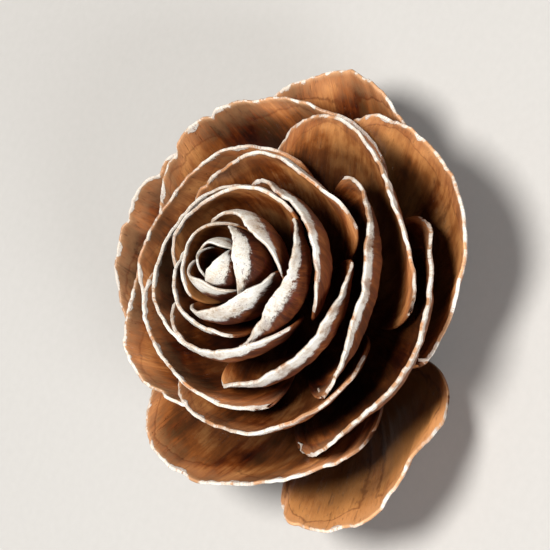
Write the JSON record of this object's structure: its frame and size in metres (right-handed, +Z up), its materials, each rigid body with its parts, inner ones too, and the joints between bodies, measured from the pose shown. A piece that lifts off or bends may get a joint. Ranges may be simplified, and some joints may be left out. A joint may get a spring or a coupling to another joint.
{
  "type": "cedar rose cone",
  "caption": "Rose-shaped tip of a cedar cone: broad, thin woody scales overlap in a spiral, from a closed bud at the top out to wide cupped scales that it rests on.",
  "frame": {"origin": "centre of the core's broken end, on the surface that the rose rests on", "axes": "+Z up along the core towards the bud; -Y is the side from which the picture sees it; the widest-open scale points between -X and -Y, and the short lowest one about along +X"},
  "size_m": [0.0583, 0.0576, 0.0326],
  "materials": {
    "cone_wood": "matte to faintly satin woody scales, chestnut brown, with a pale resin band along the rims"
  },
  "bodies": {
    "root": {"rose_cone": "cone_wood"}
  },
  "joints": []
}
